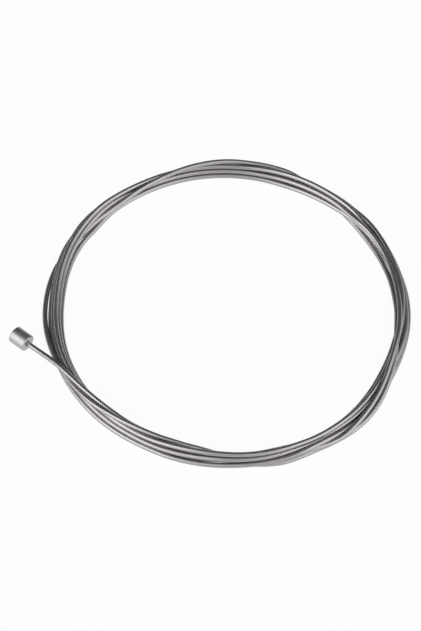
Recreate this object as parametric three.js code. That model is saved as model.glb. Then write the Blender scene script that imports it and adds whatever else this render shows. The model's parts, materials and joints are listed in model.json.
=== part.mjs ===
// Inner shift cable of a bicycle: a thin steel strand, wound up open and ready to fit,
// with a small barrel-shaped head on the end that hooks into the shift lever.
// Millimetres, +Z up. The coil lies flat on z = 0, and the origin is under the middle of the part.

import * as THREE from 'three';

// Strand: nineteen fine wires twisted into one round cable.
const STRAND_DIAMETER = 1.2;

// Coil: turns packed side by side in layers, one block of turns in cross-section.
const COIL_MEAN_RADIUS = 40;
const TURNS_PER_LAYER = 4;
const LAYERS = 2;

// Half the arc of each turn that shows between the valleys on either side of it.
const RIDGE_HALF_ANGLE = 60;
const RIDGE_STEP = 30;

// Barrel head: a short turned cylinder, cast onto the end of the strand.
const HEAD_DIAMETER = 4.0;
const HEAD_LENGTH = 4.2;
const HEAD_CHAMFER = 0.25;

// Where the strand enters the head: a small funnel, then a blind socket.
const FUNNEL_DIAMETER = 2.3;
const FUNNEL_DEPTH = 0.3;
const SOCKET_DEPTH = 2.6;

// Room kept round the strand wherever it meets the head or the coil.
const CLEARANCE = 0.3;

// Where the head lies: its bearing round the coil, how far its middle is from the coil's outside,
// and the way it points, turned from straight outwards.
const HEAD_BEARING = 192;
const HEAD_STANDOFF = 5.35;
const HEAD_TURN = 130;

// The uncoiled stretch between the head and the coil. Each point is a bearing round the coil in
// degrees, a distance outwards from the coil's mean radius, and a height. It leaves the head, climbs
// over the block of turns and comes down along the inside of the coil, where it joins the turns.
const LEAD_ROUTE = [
  [195.8, 5.3, 2.06],
  [198.9, 3.8, 2.55],
  [203.9, 2.0, 3.35],
  [209.6, 0.5, 3.45],
  [215.6, -0.65, 3.45],
  [221.8, -1.6, 3.42],
  [228.5, -2.4, 3.4],
  [235.3, -3.15, 3.3],
  [242.4, -3.55, 2.9],
  [249.9, -3.6, 2.3],
  [257.3, -3.5, 1.7],
  [264.7, -3.5, 1.3],
  [272.0, -3.5, 1.2],
];
const LEAD_STEP = 3;
const LEAD_SIDES = 8;

// How finely the round shapes are drawn.
const COIL_SEGMENTS = 64;
const HEAD_SEGMENTS = 48;

const steelStrand = new THREE.MeshStandardMaterial({ color: 0x9a9794, roughness: 0.35, metalness: 1 });
const platedHead = new THREE.MeshStandardMaterial({ color: 0xb4b3b1, roughness: 0.28, metalness: 1 });

const strandRadius = STRAND_DIAMETER / 2;
const headRadius = HEAD_DIAMETER / 2;
const radians = THREE.MathUtils.degToRad;

// Points on an arc of one turn's round section, from one angle to another.
function turnArc(centre, fromAngle, toAngle) {
  const points = [];
  for (let angle = fromAngle; angle <= toAngle; angle += RIDGE_STEP) {
    points.push(new THREE.Vector2(
      centre.x + strandRadius * Math.cos(radians(angle)),
      centre.y + strandRadius * Math.sin(radians(angle)),
    ));
  }
  return points;
}

// Middle of one turn's section: x is its radius in the coil, y its height above the surface.
function turnCentre(column, layer) {
  return new THREE.Vector2(
    COIL_MEAN_RADIUS + (column - (TURNS_PER_LAYER - 1) / 2) * STRAND_DIAMETER,
    strandRadius + layer * STRAND_DIAMETER,
  );
}

// The turns along each face of the block, in order round it: underside, outside, top, inside.
function blockFaces() {
  const underside = [];
  const outside = [];
  for (let column = 0; column < TURNS_PER_LAYER; column += 1) {
    underside.push([column, 0]);
  }
  for (let layer = 0; layer < LAYERS; layer += 1) {
    outside.push([TURNS_PER_LAYER - 1, layer]);
  }
  const top = underside.map(([column]) => [column, LAYERS - 1]).reverse();
  const inside = outside.map(([, layer]) => [0, layer]).reverse();
  return [
    { normal: -90, turns: underside },
    { normal: 0, turns: outside },
    { normal: 90, turns: top },
    { normal: 180, turns: inside },
  ];
}

// Outline of the packed block: each outer turn stands out as a round ridge, and the last turn
// of each face carries on round the corner.
function blockOutline() {
  const outline = [];
  for (const { normal, turns } of blockFaces()) {
    for (let place = 1; place < turns.length; place += 1) {
      const [column, layer] = turns[place];
      const cornerTurn = place === turns.length - 1 ? 90 : 0;
      const from = normal - RIDGE_HALF_ANGLE;
      const to = normal + RIDGE_HALF_ANGLE + cornerTurn;
      outline.push(...turnArc(turnCentre(column, layer), from, to));
    }
  }
  outline.push(outline[0].clone());
  return outline;
}

// The wound turns as one body: the block's outline carried round the coil.
function makeCoil() {
  const coil = new THREE.Mesh(new THREE.LatheGeometry(blockOutline(), COIL_SEGMENTS), steelStrand);
  coil.name = 'coil';
  coil.rotation.x = Math.PI / 2;
  return coil;
}

// The head's half section along its axis, from the middle of its closed end round the outside
// to the shoulder, and back down the funnel and the socket.
function headProfile() {
  const half = HEAD_LENGTH / 2;
  const socketRadius = strandRadius + CLEARANCE;
  return [
    [0, -half],
    [headRadius - HEAD_CHAMFER, -half],
    [headRadius, HEAD_CHAMFER - half],
    [headRadius, half - HEAD_CHAMFER],
    [headRadius - HEAD_CHAMFER, half],
    [FUNNEL_DIAMETER / 2, half],
    [socketRadius, half - FUNNEL_DEPTH],
    [socketRadius, half - SOCKET_DEPTH],
    [0, half - SOCKET_DEPTH],
  ].map(([radius, along]) => new THREE.Vector2(radius, along));
}

// A point beside the coil, from its bearing, its distance from the coil's axis and its height.
function besideCoil(bearing, distance, height) {
  const angle = radians(bearing);
  return new THREE.Vector3(distance * Math.cos(angle), distance * Math.sin(angle), height);
}

const coilOutsideRadius = COIL_MEAN_RADIUS + (TURNS_PER_LAYER * STRAND_DIAMETER) / 2;
const headMiddle = besideCoil(HEAD_BEARING, coilOutsideRadius + HEAD_STANDOFF, headRadius);
const headHeading = radians(HEAD_BEARING + HEAD_TURN);

// The head lies on its side on the surface, with its socket facing along its heading.
function makeHead() {
  const head = new THREE.Mesh(new THREE.LatheGeometry(headProfile(), HEAD_SEGMENTS), platedHead);
  head.name = 'barrel_head';
  head.rotation.z = -Math.PI / 2;
  const placed = new THREE.Group();
  placed.position.copy(headMiddle);
  placed.rotation.z = headHeading;
  placed.add(head);
  return placed;
}

// A point on the head's axis, measured along it from the head's middle.
function onHeadAxis(along) {
  const step = new THREE.Vector3(Math.cos(headHeading), Math.sin(headHeading), 0);
  return headMiddle.clone().addScaledVector(step, along);
}

// The strand's route from the bottom of the socket, straight out of the head and on to the coil.
function leadCurve() {
  const shoulder = HEAD_LENGTH / 2;
  const route = LEAD_ROUTE.map(([bearing, outwards, height]) => (
    besideCoil(bearing, COIL_MEAN_RADIUS + outwards, height)
  ));
  return new THREE.CatmullRomCurve3([
    onHeadAxis(shoulder - SOCKET_DEPTH + CLEARANCE),
    onHeadAxis(shoulder),
    ...route,
  ]);
}

// The strand's round section, drawn with a few flat sides.
function strandSection() {
  const corners = [];
  for (let side = 0; side < LEAD_SIDES; side += 1) {
    const angle = (2 * Math.PI * side) / LEAD_SIDES;
    corners.push(new THREE.Vector2(strandRadius * Math.cos(angle), strandRadius * Math.sin(angle)));
  }
  return new THREE.Shape(corners);
}

function makeLead() {
  const path = leadCurve();
  const steps = Math.ceil(path.getLength() / LEAD_STEP);
  const tube = new THREE.ExtrudeGeometry(strandSection(), { steps, extrudePath: path, bevelEnabled: false });
  const lead = new THREE.Mesh(tube, steelStrand);
  lead.name = 'lead_wire';
  return lead;
}

// The whole cable, moved so that its origin is under the middle of its box.
function makeCable() {
  const cable = new THREE.Group();
  cable.add(makeCoil(), makeHead(), makeLead());
  cable.updateMatrixWorld(true);
  const box = new THREE.Box3().setFromObject(cable, true);
  const middle = box.getCenter(new THREE.Vector3());
  cable.position.set(-middle.x, -middle.y, -box.min.z);
  return cable;
}

export default makeCable();
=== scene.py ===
# %% [markdown]
# # An inner shift cable, wound into an open coil
#
# This lesson dresses one small bicycle part: a thin twisted steel strand, a little under two
# metres long, wound round by hand between seven and eight times, with a barrel-shaped head on its
# end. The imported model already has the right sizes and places, so it is loaded first and never
# moved. Everything that follows is measured from it.
#
# Lengths are written in millimetres and multiplied by MM, because Blender counts in metres.

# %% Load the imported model
import json
import math

import bpy
import numpy as np
from mathutils import Matrix, Vector


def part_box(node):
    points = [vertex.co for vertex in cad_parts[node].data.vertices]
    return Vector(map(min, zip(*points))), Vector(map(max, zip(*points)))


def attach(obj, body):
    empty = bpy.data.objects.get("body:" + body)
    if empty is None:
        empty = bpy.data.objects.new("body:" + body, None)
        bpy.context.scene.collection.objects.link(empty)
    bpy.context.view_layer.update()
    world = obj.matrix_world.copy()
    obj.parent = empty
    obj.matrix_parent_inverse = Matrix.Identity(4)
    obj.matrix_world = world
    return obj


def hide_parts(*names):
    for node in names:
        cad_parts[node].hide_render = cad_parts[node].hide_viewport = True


MM = 0.001

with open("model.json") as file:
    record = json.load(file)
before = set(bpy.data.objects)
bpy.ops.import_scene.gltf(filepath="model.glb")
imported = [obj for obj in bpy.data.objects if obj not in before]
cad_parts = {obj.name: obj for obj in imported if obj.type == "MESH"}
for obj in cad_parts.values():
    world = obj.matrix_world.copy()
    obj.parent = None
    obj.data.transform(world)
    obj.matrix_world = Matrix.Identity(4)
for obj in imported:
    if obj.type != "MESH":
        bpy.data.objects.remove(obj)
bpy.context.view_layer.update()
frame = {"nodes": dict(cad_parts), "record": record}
print("nodes:", sorted(frame["nodes"]))

# %% [markdown]
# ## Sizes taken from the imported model
#
# The coil is a plain ring there. Its box gives the middle of the coil and its outside radius, and
# the turns lie four side by side, so the middle of the turns is two strand diameters further in.
# The head's box gives its middle, and the seat on its shoulder gives the way that it points. The
# numbers could be typed in again, but numbers that are read can't drift away from the model.

# %% Measure the ring and the head
STRAND_DIAMETER = 1.2 * MM
STRAND_RADIUS = STRAND_DIAMETER / 2
RING_TURNS_ACROSS = 4

ring_low, ring_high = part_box("coil")
coil_middle = (ring_low + ring_high) / 2
coil_middle.x = ring_high.x - (ring_high.y - ring_low.y) / 2
coil_middle.z = 0.0
ring_outside = (ring_high.y - ring_low.y) / 2
mean_radius = ring_outside - RING_TURNS_ACROSS / 2 * STRAND_DIAMETER

head_low, head_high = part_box("barrel_head")
head_middle = (head_low + head_high) / 2
head_axis = Vector(frame["record"]["mounts"][0]["axis"])
print("coil middle, mean radius:", coil_middle, round(mean_radius / MM, 3))

# %% [markdown]
# ## The camera
#
# The photograph looks down on the coil at 57 degrees, from straight in front, with the camera
# turned by two degrees. A long lens from 700 mm away gives the weak perspective that it shows.
# A camera could be pointed with a Track To constraint, but a matrix built from its three axes also
# holds the small turn, and it is exact.

# %% Place the camera
VIEW_ELEVATION = math.radians(56.86)
VIEW_ROLL = math.radians(2.02)
VIEW_DISTANCE = 700 * MM
VIEW_HEIGHT = 144.96 * MM
AIM_FROM_COIL = Vector((-3.86, -0.49, 0.0)) * MM
NEAREST_SEEN = 10 * MM
SENSOR_SIZE = 36.0

backward = Vector((0.0, -math.cos(VIEW_ELEVATION), math.sin(VIEW_ELEVATION)))
level = Vector((1.0, 0.0, 0.0))
rising = backward.cross(level)
rightward = math.cos(VIEW_ROLL) * level + math.sin(VIEW_ROLL) * rising
upward = backward.cross(rightward)

camera = bpy.data.objects.new("camera", bpy.data.cameras.new("camera"))
bpy.context.collection.objects.link(camera)
camera.data.sensor_width = SENSOR_SIZE
camera.data.lens = SENSOR_SIZE * VIEW_DISTANCE / VIEW_HEIGHT
camera.data.clip_start = NEAREST_SEEN
turned = Matrix((rightward, upward, backward)).transposed().to_4x4()
aim = coil_middle + AIM_FROM_COIL
camera.matrix_world = Matrix.Translation(aim + VIEW_DISTANCE * backward) @ turned
bpy.context.scene.camera = camera
print("lens:", round(camera.data.lens, 2), "mm")

# %% [markdown]
# ## The strand's route
#
# The real cable is laid round by hand, and then its head end is wrapped round the bundle of turns
# so that the coil holds itself together. So the route has three stretches. The uncoiled one leaves
# the head and climbs over the bundle; its points are listed and are the same as in the
# imported model. Then come the wraps, which pass over the bundle to its inside and back under it.
# The rest lies in the bundle, turn on turn.
# A spiral formula alone would look machine-made. Here listed points lay the wraps roughly,
# and a later step lets all the turns settle against each other.
#
# A place is given by its bearing round the coil in degrees, its distance outwards and its height.
# The distance is counted from the coil's mean radius in the uncoiled stretch, and from the
# outermost turn of the bundle in the wraps. Bearings past 360 belong to the next turn.

# %% Choose the points of the uncoiled stretch and the wraps
UNCOILED = [
    (195.8, 5.3, 2.06),
    (198.9, 3.8, 2.55),
    (203.9, 2.0, 3.35),
    (209.6, 0.5, 3.45),
]
FIRST_WRAP = [
    (222.0, -1.3, 3.7),
    (234.0, -2.0, 2.9),
    (244.0, -2.5, 1.9),
    (254.0, -2.7, 0.8),
    (276.0, -1.3, -0.1),
    (305.0, 0.4, 0.3),
    (320.0, 1.8, 0.7),
    (331.0, 1.0, 1.7),
]
SECOND_WRAP = [
    (338.0, 0.0, 2.8),
    (345.0, -1.0, 3.5),
    (352.0, -2.2, 3.1),
    (364.0, -2.8, 2.3),
    (376.0, -3.1, 1.2),
    (390.0, -2.9, 0.4),
    (410.0, -1.4, -0.2),
    (422.0, 0.1, 0.3),
    (432.0, 0.5, 1.5),
]
THIRD_WRAP = [
    (442.0, 0.1, 2.7),
    (457.0, -0.9, 3.6),
    (472.0, -2.0, 3.1),
    (484.0, -2.5, 1.9),
    (498.0, -2.3, 0.8),
    (511.0, -1.4, -0.2),
    (524.0, 0.6, 0.2),
    (536.0, 1.6, 0.6),
    (548.0, 1.5, 0.7),
    (559.0, 0.6, 1.6),
]
FOURTH_WRAP = [
    (571.0, -0.3, 2.7),
    (588.0, -1.2, 3.7),
    (602.0, -2.0, 2.9),
    (612.0, -2.5, 1.9),
    (622.0, -2.7, 0.8),
    (640.0, -1.6, -0.2),
    (660.0, 0.3, 0.3),
    (677.0, 0.8, 0.8),
    (688.0, 0.2, 2.6),
    (702.0, -1.1, 3.4),
    (724.0, -2.4, 2.7),
]
wraps = FIRST_WRAP + SECOND_WRAP + THIRD_WRAP + FOURTH_WRAP
print("points chosen by hand:", len(UNCOILED) + len(wraps))

# %% [markdown]
# ## The bundle of turns
#
# The rest of the strand lies in a low heap of turns: three side by side, two above them and one on
# top. A hand-wound bundle isn't a perfect ring, so two short lists say how far out its outermost
# turn lies and how widely the turns spread, at some bearings round the coil. Noise could make it
# uneven too, but it couldn't put the bulges where the photograph shows them.

# %% Say how the bundle lies
# Each turn's distance outwards and height, from the top turns to the lowest ones.
BUNDLE = [(-1.8, 1.64), (-1.2, 2.68), (-0.6, 1.64), (0.0, 0.6), (-1.2, 0.6), (-2.4, 0.6)]
# How far out the bundle's outermost turn lies, by bearing.
SWAY = [
    (0, 1.4),
    (25, 1.5),
    (42, 1.1),
    (58, 0.9),
    (78, 1.05),
    (100, 1.15),
    (120, 1.1),
    (150, 1.2),
    (163, 0.8),
    (178, 0.3),
    (190, 0.6),
    (202, 0.9),
    (222, 0.8),
    (245, 0.35),
    (258, 0.4),
    (285, 1.2),
    (305, 1.1),
    (325, 0.7),
    (338, 0.5),
]
# How widely the turns spread, by bearing; 1 is side by side.
SPREAD = [
    (0, 0.9),
    (60, 0.95),
    (100, 0.9),
    (150, 0.95),
    (180, 0.92),
    (220, 0.95),
    (270, 0.95),
    (330, 0.95),
]
print("turns in the bundle:", len(BUNDLE))

# %% [markdown]
# ## Smooth curves through chosen values
#
# Straight lines between the chosen points would show as kinks in a springy wire. A Blender curve
# object could round them, but its points are hard to read back at a given bearing. So a short
# function does it: between two points it follows a cubic that leaves and arrives at the slope of
# the list there.

# %% Read a list smoothly


def smooth_through(points, column, wanted):
    """A smooth curve through listed points, read at the wanted bearings."""
    places, values = np.array(points)[:, [0, column]].T
    slopes = np.gradient(values, places)
    left = np.clip(np.searchsorted(places, wanted) - 1, 0, len(places) - 2)
    span = places[left + 1] - places[left]
    share = np.clip((wanted - places[left]) / span, 0, 1)
    rise = share**2 * (3 - 2 * share)
    leave = share * (1 - share) ** 2 * span * slopes[left]
    arrive = share**2 * (share - 1) * span * slopes[left + 1]
    return values[left] * (1 - rise) + values[left + 1] * rise + leave + arrive


def round_the_coil(points, bearing):
    """A value listed by bearing, carried smoothly round and round the coil."""
    before = [(place - 360, value) for place, value in points]
    after = [(place + 360, value) for place, value in points]
    return smooth_through(before + points + after, 1, bearing % 360)


print("sway at the right, mm:", round(float(round_the_coil(SWAY, 0)), 2))
print("sway at the left, mm:", round(float(round_the_coil(SWAY, 180)), 2))

# %% [markdown]
# ## Laying the strand roughly
#
# The strand is laid at 240 stations in each turn. Through the uncoiled stretch and the wraps it
# follows the chosen points. After them it takes one place in the bundle after another, and moves
# over to the next one at the start of each turn, as a wire does that is wound by hand. It could
# drift over the whole turn instead, as in a spiral, but a hand lays a turn down and then steps.

# %% Lay the strand roughly
STATIONS = 240
SHIFT_SHARE = 0.16
FULL_TURNS = 7
END_BEARING = 285 + FULL_TURNS * 360


def lay_bundle(turn, last_wrap):
    """Distance and height of each turn in the bundle, where it moves over to its own place."""
    places = np.array([last_wrap[1:]] + BUNDLE)
    column = np.minimum(turn.astype(int), len(BUNDLE) - 1)
    share = np.clip((turn - column) / SHIFT_SHARE, 0, 1)[:, None]
    move = (1 - np.cos(np.pi * share)) / 2
    return (places[column] + (places[column + 1] - places[column]) * move).T


def lay_strand():
    """The whole route before it settles: bearing, outwards distance and height, in millimetres."""
    bearing = np.arange(UNCOILED[0][0], END_BEARING, 360 / STATIONS)
    sway = round_the_coil(SWAY, bearing)
    spread = round_the_coil(SPREAD, bearing)
    lead = [(place, out - round_the_coil(SWAY, place), up) for place, out, up in UNCOILED]
    route = lead + wraps
    outwards = smooth_through(route, 1, bearing)
    height = smooth_through(route, 2, bearing)
    bundled = bearing >= route[-1][0]
    turn = (bearing[bundled] - route[-1][0]) / 360
    outwards[bundled], height[bundled] = lay_bundle(turn, route[-1])
    coiled = bearing > UNCOILED[-1][0]
    outwards[coiled] *= spread[coiled]
    return bearing, outwards + sway, height


bearing, outwards, height = lay_strand()
print("stations:", len(bearing))

# %% [markdown]
# ## Bending and pushing
#
# Steel strand is springy and can't pass through itself. A cloth or rigid-body simulation would be
# slow on so long a strand, so the turns settle by a small relaxation instead, which has two rules.
#
# The first is stiffness: each station moves towards the place that its neighbours on both sides
# would give it. The second keeps turns apart: where two of them are closer than one diameter, both
# move away from each other. All turns have a station at the same bearings, and only stations at the
# same bearing are compared, which is quick. It isn't exact where one turn crosses another at a
# slant: there they still sink into each other, by a tenth of a millimetre at most.

# %% Write the two rules
AVERAGING_SHARE = 0.35
PUSH_SHARE = 0.42
NEVER_ZERO = 1e-9
diameter_mm = STRAND_DIAMETER / MM


def smoothed(values, amount):
    """One pass of bending stiffness, and a lighter one of plain averaging."""
    result = values.copy()
    # Where a cubic through the two neighbours on each side passes each station.
    cubic = (-values[:-4] + 4 * values[1:-3] + 4 * values[3:-1] - values[4:]) / 6
    result[2:-2] += amount * (cubic - values[2:-2])
    result[1:-1] += AVERAGING_SHARE * amount * ((values[:-2] + values[2:]) / 2 - values[1:-1])
    return result


def push_apart(outwards, height, clear):
    """Move turns that overlap away from each other, and keep them above the floor."""
    count = len(outwards)
    spare = clear.shape[0] * STATIONS - count
    across = np.concatenate([outwards, np.zeros(spare)]).reshape(-1, STATIONS)
    up = np.concatenate([height, np.zeros(spare)]).reshape(-1, STATIONS)
    gap_across = across[:, None] - across[None]
    gap_up = up[:, None] - up[None]
    distance = np.hypot(gap_across, gap_up) + NEVER_ZERO
    overlap = np.where(clear, np.clip(diameter_mm - distance, 0, None), 0) * PUSH_SHARE
    move_across = (overlap * gap_across / distance).sum(1).ravel()[:count]
    move_up = (overlap * gap_up / distance).sum(1).ravel()[:count]
    return outwards + move_across, np.maximum(height + move_up, diameter_mm / 2)


print("turns push each other when closer than", round(diameter_mm, 2), "mm")

# %% [markdown]
# ## Letting the turns settle
#
# In each round the strand sinks a little, is pulled towards its laid place and is smoothed as a
# stiff wire would be. Then turns that overlap push each other apart. The last quarter of the rounds
# sinks more slowly, so that the strand comes to rest, and a few rounds of pushing alone clear what
# still overlaps. The first few stations are pinned, because the head holds the strand there.

# %% Settle the turns
SETTLE_ROUNDS = 1200
LIVELY_SHARE = 0.75
CALM = 0.2
SINK = 0.010
PULL = 0.05
STIFFNESS = 0.45
SMOOTHINGS = 5
PUSHES = 3
LAST_PUSHES = 60
PINNED = 7


def settle(outwards, height):
    """Sink, pull, smooth and push the laid route until the turns rest on each other."""
    turns = math.ceil(len(outwards) / STATIONS)
    used = (np.arange(turns * STATIONS) < len(outwards)).reshape(turns, STATIONS)
    clear = used[:, None, :] & used[None, :, :] & ~np.eye(turns, dtype=bool)[:, :, None]
    target = outwards.copy()
    start_out, start_up = outwards[:PINNED].copy(), height[:PINNED].copy()
    for settled in range(SETTLE_ROUNDS):
        liveliness = 1.0 if settled < LIVELY_SHARE * SETTLE_ROUNDS else CALM
        height = height - SINK * liveliness
        outwards = outwards + PULL * (target - outwards)
        for _ in range(SMOOTHINGS):
            outwards, height = smoothed(outwards, STIFFNESS), smoothed(height, STIFFNESS)
        for _ in range(PUSHES):
            outwards, height = push_apart(outwards, height, clear)
        outwards[:PINNED], height[:PINNED] = start_out, start_up
    for _ in range(LAST_PUSHES):
        outwards, height = push_apart(outwards, height, clear)
    return outwards, height


outwards, height = settle(outwards, height)
print("highest strand middle:", round(height.max(), 2), "mm")

# %% [markdown]
# ## The strand's centreline
#
# The settled stations become points in space, with the straight piece out of the head's socket in
# front of them, and are then spaced evenly. They could be used as they are, but the stations are
# a little closer together on the inside of the bundle, and an even line wastes no faces there.

# %% Turn the stations into an even centreline
SHOULDER = 2.1
SOCKET_DEPTH = 2.0
STRAIGHT_OUT = 0.5
RING_SPACING = 0.70
ROUNDING_PASSES = 6


def beside_coil(bearing, outwards, height):
    """Points in metres from bearings in degrees and distances in millimetres."""
    angle = np.radians(bearing)
    radius = mean_radius + outwards * MM
    across = coil_middle.x + radius * np.cos(angle)
    along = coil_middle.y + radius * np.sin(angle)
    return np.column_stack([across, along, height * MM])


def evenly_spaced(points, spacing):
    """The line through the points, cut into equal steps and with its corners rounded off."""
    steps = np.linalg.norm(np.diff(points, axis=0), axis=1)
    travelled = np.concatenate([[0], np.cumsum(steps)])
    count = int(round(travelled[-1] / spacing))
    wanted = np.linspace(0, travelled[-1], count + 1)
    cut = np.column_stack([np.interp(wanted, travelled, points[:, axis]) for axis in range(3)])
    for _ in range(ROUNDING_PASSES):
        cut[1:-1] = (cut[:-2] + 2 * cut[1:-1] + cut[2:]) / 4
    return cut


exit_point = head_middle + SHOULDER * MM * head_axis
socket_point = exit_point - SOCKET_DEPTH * MM * head_axis
start = np.array([socket_point, exit_point, exit_point + STRAIGHT_OUT * MM * head_axis])
centreline = np.vstack([start, beside_coil(bearing, outwards, height)])
centreline = evenly_spaced(centreline, RING_SPACING * MM)

# %% [markdown]
# ## The twisted wires
#
# The strand's outside is twelve wires twisted round it. A curve with a round bevel would make a
# plain tube at once, but no wires. Twelve separate tubes would need at least twice the faces, and
# their hidden sides would never be seen. So one skin is made instead: its section has twelve lobes,
# and it turns a little from ring to ring, so each row of faces follows one wire.
#
# A shift cable is pulled through a die after it is twisted, which flattens the outside of every
# wire, so each lobe is a flat crest with a narrow groove beside it.

# %% Draw the strand's section
OUTER_WIRES = 12
CREST_HALF_ANGLE = 7.5
GROOVE_DEPTH = 0.03 * MM


def lobed_section():
    """Angle and radius of each point of the strand's section, and whether it is on a crest."""
    wire_angle = 360 / OUTER_WIRES
    angles, radii, crests = [], [], []
    for wire in range(OUTER_WIRES):
        middle = wire * wire_angle
        angles += [middle - wire_angle / 2, middle - CREST_HALF_ANGLE, middle + CREST_HALF_ANGLE]
        radii += [STRAND_RADIUS - GROOVE_DEPTH, STRAND_RADIUS, STRAND_RADIUS]
        crests += [0.0, 1.0, 1.0]
    return np.radians(angles), np.array(radii), np.array(crests)


print("points round the strand:", len(lobed_section()[0]))

# %% [markdown]
# ## A skin without a twist of its own
#
# The section has to be carried along the centreline without turning, so that the only twist is the
# one that the wires have. Setting each ring upright by itself would turn it wherever the strand
# climbs. So each ring's sideways direction is the last ring's, moved just enough to lie across the
# strand. The rings are then joined by four-sided faces.

# %% Carry a section along a curve


def carried_frames(points):
    """Two directions across the curve at each point, carried along it without twisting."""
    tangents = np.gradient(points, axis=0)
    tangents /= np.linalg.norm(tangents, axis=1)[:, None]
    side = np.cross(tangents[0], [0, 0, 1])
    sides = []
    for tangent in tangents:
        side = side - tangent * (side @ tangent)
        side = side / np.linalg.norm(side)
        sides.append(side)
    sides = np.array(sides)
    return sides, np.cross(tangents, sides)


def grid_faces(rings, around):
    """Quads that join each ring of points to the next one."""
    ring, point = np.meshgrid(np.arange(rings - 1), np.arange(around), indexing="ij")
    after = (point + 1) % around
    corners = [ring * around + point, ring * around + after]
    corners += [(ring + 1) * around + after, (ring + 1) * around + point]
    return np.stack(corners, axis=-1).reshape(-1, 4)


print("faces along the strand:", len(grid_faces(len(centreline), len(lobed_section()[0]))))

# %% [markdown]
# ## The strand's two ends
#
# One end is hidden in the head's socket, so a flat cut is enough there. The far end of a new cable
# is fused where it was cut, so that the wires can't fray. There the last step of the skin is cut
# more finely and narrows to a blunt, rounded tip. A ball on the end would show a seam.

# %% Build the strand's skin
TWIST_PITCH = 7.4 * MM
# The fused tip: how far along the last step each ring is, and how wide, as shares.
TIP_RINGS = [(0.4, 0.97), (0.7, 0.85), (0.9, 0.62), (1.0, 0.3)]


def with_tip(points):
    """The centreline with its last step cut for the fused tip, and how wide each ring is."""
    last_step = points[-1] - points[-2]
    tip = [points[-2] + share * last_step for share, _ in TIP_RINGS]
    widths = [1.0] * (len(points) - 1) + [width for _, width in TIP_RINGS]
    return np.vstack([points[:-1], tip]), np.array(widths)[:, None]


def strand_mesh(points):
    """A closed skin round the centreline, cut flat in the socket and rounded at the far end."""
    points, widths = with_tip(points)
    angles, radii, crests = lobed_section()
    sides, ups = carried_frames(points)
    around = len(angles)
    steps = np.linalg.norm(np.diff(points, axis=0), axis=1)
    travelled = np.concatenate([[0], np.cumsum(steps)])[:, None]
    turned = angles + 2 * np.pi * travelled / TWIST_PITCH
    across = (widths * radii * np.cos(turned))[..., None] * sides[:, None]
    upright = (widths * radii * np.sin(turned))[..., None] * ups[:, None]
    vertices = (points[:, None] + across + upright).reshape(-1, 3)
    faces = grid_faces(len(points), around).tolist()
    last = (len(points) - 1) * around
    faces.append(list(range(around))[::-1])
    faces.append(list(range(last, last + around)))
    mesh = bpy.data.meshes.new("strand")
    mesh.from_pydata(vertices.tolist(), [], faces)
    crest = mesh.attributes.new("crest", "FLOAT", "POINT")
    crest.data.foreach_set("value", np.tile(crests, len(points)))
    return mesh


strand = bpy.data.objects.new("strand", strand_mesh(centreline))
bpy.context.collection.objects.link(strand)
strand.data.shade_smooth()
print("strand faces:", len(strand.data.polygons))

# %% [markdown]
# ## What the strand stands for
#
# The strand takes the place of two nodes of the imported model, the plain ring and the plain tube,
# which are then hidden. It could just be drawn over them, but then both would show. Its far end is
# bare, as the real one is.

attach(strand, "root")
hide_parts("coil", "lead_wire")

# %% [markdown]
# ## Helpers for materials
#
# Each finish is a small network of shader nodes. One helper starts a material, and the other adds
# a node with its values set, so that the cells below can be read as a list of what the finish does.

# %% Make material helpers


def new_material(name):
    """An empty node material with its surface shader."""
    material = bpy.data.materials.new(name)
    material.use_nodes = True
    return material, material.node_tree, material.node_tree.nodes["Principled BSDF"]


def add_node(tree, kind, **inputs):
    """Add a node and set its inputs by name, with spaces written as underscores."""
    node = tree.nodes.new(kind)
    for name, value in inputs.items():
        node.inputs[name.replace("_", " ")].default_value = value
    return node


# %% [markdown]
# ## Drawn steel wire
#
# Each wire was drawn through a die, which leaves it bright and smooth along its length. The grooves
# between the wires are given a dark colour, which is painted shade, and a higher roughness, so they
# look darker and duller. A picture wrapped round the strand could show this, but it would need
# stretching along nearly two metres. Instead the skin carries how far up its wire each point is,
# and the material reads that number for its colour and for its roughness.

# %% Finish the strand
WIRE_COLOUR = (0.53, 0.510, 0.517, 1)
# The groove colour is painted shade: it darkens the grooves between the wires.
GROOVE_SHADE_COLOUR = (0.17, 0.163, 0.164, 1)
WIRE_ROUGHNESS = 0.28
GROOVE_ROUGHNESS = 0.45

steel, tree, shader = new_material("drawn_steel_wire")
shader.inputs["Metallic"].default_value = 1.0
crest = add_node(tree, "ShaderNodeAttribute")
crest.attribute_name = "crest"
# This mix paints shade into the grooves and keeps the crests at the wire colour.
shaded_groove_to_wire = add_node(tree, "ShaderNodeMix")
shaded_groove_to_wire.data_type = "RGBA"
shaded_groove_to_wire.inputs["A"].default_value = GROOVE_SHADE_COLOUR
shaded_groove_to_wire.inputs["B"].default_value = WIRE_COLOUR
tree.links.new(crest.outputs["Fac"], shaded_groove_to_wire.inputs["Factor"])
tree.links.new(shaded_groove_to_wire.outputs["Result"], shader.inputs["Base Color"])
roughness = add_node(tree, "ShaderNodeMapRange", To_Min=GROOVE_ROUGHNESS, To_Max=WIRE_ROUGHNESS)
tree.links.new(crest.outputs["Fac"], roughness.inputs["Value"])
tree.links.new(roughness.outputs["Result"], shader.inputs["Roughness"])
strand.data.materials.append(steel)
print("strand finish:", steel.name, "with", len(tree.nodes), "nodes")

# %% [markdown]
# ## The barrel head
#
# The head is zinc, cast round the end of the strand, turned to size and plated. A ready-made
# cylinder with a bevel would do for its outside, but the dimple where the strand comes out needs
# a profile of its own. So the half section is written as points and carried round the axis. The
# rims are rounded, because a bright line along a rim is what makes plated metal look solid.
#
# Flat faces get a ring of points close to their edge. Without it, smooth shading would bend the
# light all over the face.

# %% Draw the head's half section
HEAD_DIAMETER = 4.0
HEAD_LENGTH = 4.2
RIM_RADIUS = 0.25
RIM_STEPS = 5
DIMPLE_RADIUS = 0.95
DIMPLE_DEPTH = 0.12
HOLE_RADIUS = 0.63
HOLE_DEPTH = 2.4
SUPPORT = 0.06


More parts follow.
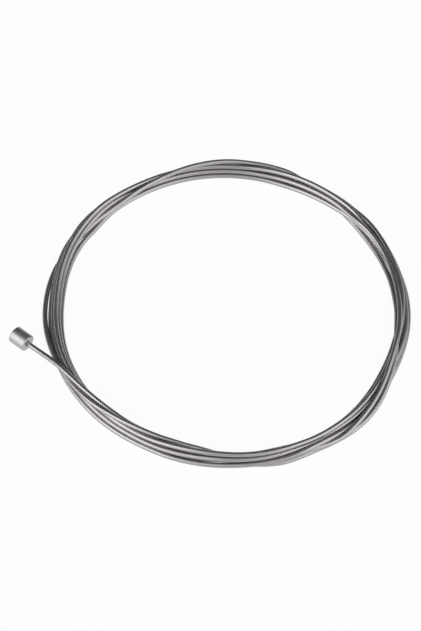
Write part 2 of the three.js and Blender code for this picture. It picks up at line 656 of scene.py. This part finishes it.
def rim_points(middle_radius, middle_along, first_angle):
    """A quarter circle of points round a rim."""
    angles = np.radians(np.linspace(first_angle, first_angle + 90, RIM_STEPS + 1))
    radii = middle_radius + RIM_RADIUS * np.cos(angles)
    alongs = middle_along + RIM_RADIUS * np.sin(angles)
    return list(zip(radii, alongs))


def head_profile():
    """The half section from the closed end to the bottom of the hole, in millimetres."""
    half = HEAD_LENGTH / 2
    rim_middle = HEAD_DIAMETER / 2 - RIM_RADIUS
    straight = half - RIM_RADIUS
    return (
        [(0, -half), (rim_middle - SUPPORT, -half)]
        + rim_points(rim_middle, -straight, -90)
        + [(HEAD_DIAMETER / 2, SUPPORT - straight), (HEAD_DIAMETER / 2, straight - SUPPORT)]
        + rim_points(rim_middle, straight, 0)
        + [(rim_middle - SUPPORT, half), (DIMPLE_RADIUS + SUPPORT, half), (DIMPLE_RADIUS, half)]
        + [(HOLE_RADIUS, half - DIMPLE_DEPTH), (HOLE_RADIUS, half - DIMPLE_DEPTH - SUPPORT)]
        + [(HOLE_RADIUS, half - HOLE_DEPTH), (0, half - HOLE_DEPTH)]
    )


print("points in the head's half section:", len(head_profile()))

# %% [markdown]
# ## Turning the head
#
# A Screw modifier could carry the half section round its axis. Written out, the same thing takes a
# few lines and also closes the solid neatly, because the points on the axis stay single. The solid
# is made standing upright, and its matrix then lays it on its side, pointing as the seat does.

# %% Turn the head
HEAD_SIDES = 96
SHARP_ANGLE = math.radians(35)


def turned_mesh(name, profile, sides):
    """A closed solid turned round Z. Its profile starts and ends on the axis."""
    angles = np.arange(sides) * 2 * np.pi / sides
    radii, alongs = np.array(profile[1:-1]).T * MM
    across = radii[:, None] * np.cos(angles)
    upright = radii[:, None] * np.sin(angles)
    raised = np.broadcast_to(alongs[:, None], across.shape)
    rings = np.stack([across, upright, raised], axis=-1).reshape(-1, 3)
    poles = [(0, 0, profile[0][1] * MM), (0, 0, profile[-1][1] * MM)]
    faces = grid_faces(len(radii), sides).tolist()
    last_ring = len(rings) - sides
    for side in range(sides):
        after = (side + 1) % sides
        faces.append([len(rings), after, side])
        faces.append([last_ring + side, last_ring + after, len(rings) + 1])
    mesh = bpy.data.meshes.new(name)
    mesh.from_pydata(rings.tolist() + poles, [], faces)
    mesh.shade_smooth()
    mesh.set_sharp_from_angle(angle=SHARP_ANGLE)
    return mesh


head = bpy.data.objects.new("head", turned_mesh("head", head_profile(), HEAD_SIDES))
bpy.context.collection.objects.link(head)
head_turn = head_axis.to_track_quat("Z", "Y").to_matrix().to_4x4()
head.matrix_world = Matrix.Translation(head_middle) @ head_turn
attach(head, "root")
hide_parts("barrel_head")
print("head faces:", len(head.data.polygons))

# %% [markdown]
# ## Satin plating
#
# Plating over a cast and turned surface is bright but not a mirror: it keeps a fine grain, and it
# shines a little more in one spot than in the next. A picture of it would have to be unwrapped and
# would show a seam. Noise has none, so the grain is a bump from a noise texture, and a second,
# wider noise changes the roughness. Both are read in the head's own coordinates, so that they stay
# with it.

# %% Finish the head
PLATING_COLOUR = (0.46, 0.46, 0.46, 1)
GRAIN_SCALE = 3500.0
GRAIN_HEIGHT = 0.04 * MM
PATCH_SCALE = 900.0
SHINIEST = 0.32
DULLEST = 0.54

plating, tree, shader = new_material("satin_plating")
shader.inputs["Metallic"].default_value = 1.0
shader.inputs["Base Color"].default_value = PLATING_COLOUR
place = add_node(tree, "ShaderNodeTexCoord")
grain = add_node(tree, "ShaderNodeTexNoise", Scale=GRAIN_SCALE, Detail=3.0)
patches = add_node(tree, "ShaderNodeTexNoise", Scale=PATCH_SCALE, Detail=2.0)
tree.links.new(place.outputs["Object"], grain.inputs["Vector"])
tree.links.new(place.outputs["Object"], patches.inputs["Vector"])
bump = add_node(tree, "ShaderNodeBump", Strength=0.6, Distance=GRAIN_HEIGHT)
tree.links.new(grain.outputs["Fac"], bump.inputs["Height"])
tree.links.new(bump.outputs["Normal"], shader.inputs["Normal"])
shine = add_node(tree, "ShaderNodeMapRange", To_Min=SHINIEST, To_Max=DULLEST)
tree.links.new(patches.outputs["Fac"], shine.inputs["Value"])
tree.links.new(shine.outputs["Result"], shader.inputs["Roughness"])
head.data.materials.append(plating)
print("head finish:", plating.name, "with", len(tree.nodes), "nodes")

# %% [markdown]
# ## The white floor
#
# The photograph has a pure white background. Lighting a white floor until it is that bright would
# also flood the metal with light. So the floor shines with a white of its own, and the Light Path
# node keeps that to the camera's rays and to what is seen in metal or through glass. Apart from its
# image in the metal, it throws no light on the part. A small share of plain white paper stays mixed
# in, and that share carries the part's faint shadow.

# %% Lay the floor
FLOOR_HALF = 4.0
PAPER_COLOUR = (0.95, 0.95, 0.95, 1)
PAPER_ROUGHNESS = 0.9
WHITE_SHARE = 0.94


def larger(tree, first, second):
    """The larger of two node outputs."""
    node = add_node(tree, "ShaderNodeMath")
    node.operation = "MAXIMUM"
    tree.links.new(first, node.inputs[0])
    tree.links.new(second, node.inputs[1])
    return node.outputs["Value"]


floor_mesh = bpy.data.meshes.new("floor")
corners = [(-1, -1, 0), (1, -1, 0), (1, 1, 0), (-1, 1, 0)]
floor_mesh.from_pydata([Vector(corner) * FLOOR_HALF for corner in corners], [], [(0, 1, 2, 3)])
floor = bpy.data.objects.new("floor", floor_mesh)
bpy.context.collection.objects.link(floor)

paper, tree, shader = new_material("white_paper")
shader.inputs["Base Color"].default_value = PAPER_COLOUR
shader.inputs["Roughness"].default_value = PAPER_ROUGHNESS
shader.inputs["Specular IOR Level"].default_value = 0.0
seen = add_node(tree, "ShaderNodeLightPath")
seen_or_mirrored = larger(tree, seen.outputs["Is Camera Ray"], seen.outputs["Is Glossy Ray"])
any_view = larger(tree, seen_or_mirrored, seen.outputs["Is Transmission Ray"])
share = add_node(tree, "ShaderNodeMath")
share.operation = "MULTIPLY"
share.inputs[1].default_value = WHITE_SHARE
tree.links.new(any_view, share.inputs[0])
white = add_node(tree, "ShaderNodeEmission", Color=(1, 1, 1, 1), Strength=1.0)
blend = add_node(tree, "ShaderNodeMixShader")
tree.links.new(share.outputs["Value"], blend.inputs["Fac"])
tree.links.new(shader.outputs["BSDF"], blend.inputs[1])
tree.links.new(white.outputs["Emission"], blend.inputs[2])
tree.links.new(blend.outputs["Shader"], tree.nodes["Material Output"].inputs["Surface"])
floor.data.materials.append(paper)
print("white share of the floor:", WHITE_SHARE)

# %% [markdown]
# ## The lights
#
# Steel wire shows what stands round it: each turn has a bright line where it mirrors a light, with
# dark on both sides. A wide light gives a wide, soft line. The photograph has bright lines on the
# strands at the front, the back and the left slope, and nearly dark strands at both sides, so one
# large light stands at the front left and a weaker one at the front right, both a good third of the
# way up. Area lamps would have to be very large to be even over the whole coil. A sun lamp with a
# wide angle has the same look and is even everywhere.

# %% Hang the lights


def soft_sun(name, towards, strength, width):
    """A sun lamp as wide as a softbox, shining from that direction."""
    lamp = bpy.data.objects.new(name, bpy.data.lights.new(name, "SUN"))
    lamp.data.energy = strength
    lamp.data.angle = math.radians(width)
    lamp.rotation_euler = Vector(towards).to_track_quat("Z", "Y").to_euler()
    bpy.context.collection.objects.link(lamp)
    print(name, "shines at", strength, "and is", width, "degrees wide")


soft_sun("main_softbox", towards=(-0.72, -0.44, 0.54), strength=1.70, width=66)
soft_sun("fill_softbox", towards=(0.76, -0.26, 0.60), strength=1.45, width=78)

# %% [markdown]
# ## The room
#
# Between the lights, the steel mirrors the room. One even grey all round would make it look like
# putty. So the world fades from grey in front of the part to nearly dark behind it, which keeps
# the dark lines on the strands at the back as deep as the photograph has them.

# %% Shade the room
ROOM_BACK = 0.10
ROOM_FRONT = 0.5
FADE_STARTS = 0.3
FADE_ENDS = -0.6

world = bpy.data.worlds.new("studio")
bpy.context.scene.world = world
world.use_nodes = True
tree = world.node_tree
direction = add_node(tree, "ShaderNodeTexCoord")
parts = add_node(tree, "ShaderNodeSeparateXYZ")
tree.links.new(direction.outputs["Generated"], parts.inputs["Vector"])
fade = add_node(tree, "ShaderNodeMapRange", From_Min=FADE_STARTS, From_Max=FADE_ENDS)
fade.inputs["To Min"].default_value = ROOM_BACK
fade.inputs["To Max"].default_value = ROOM_FRONT
tree.links.new(parts.outputs["Y"], fade.inputs["Value"])
tree.links.new(fade.outputs["Result"], tree.nodes["Background"].inputs["Strength"])
tree.nodes["Background"].inputs["Color"].default_value = (1, 1, 1, 1)
print("room strength, back and front:", ROOM_BACK, ROOM_FRONT)

# %% [markdown]
#
# The Standard view transform shows a colour about as it is written.

# %% Set the view and finish
bpy.context.scene.view_settings.view_transform = "Standard"
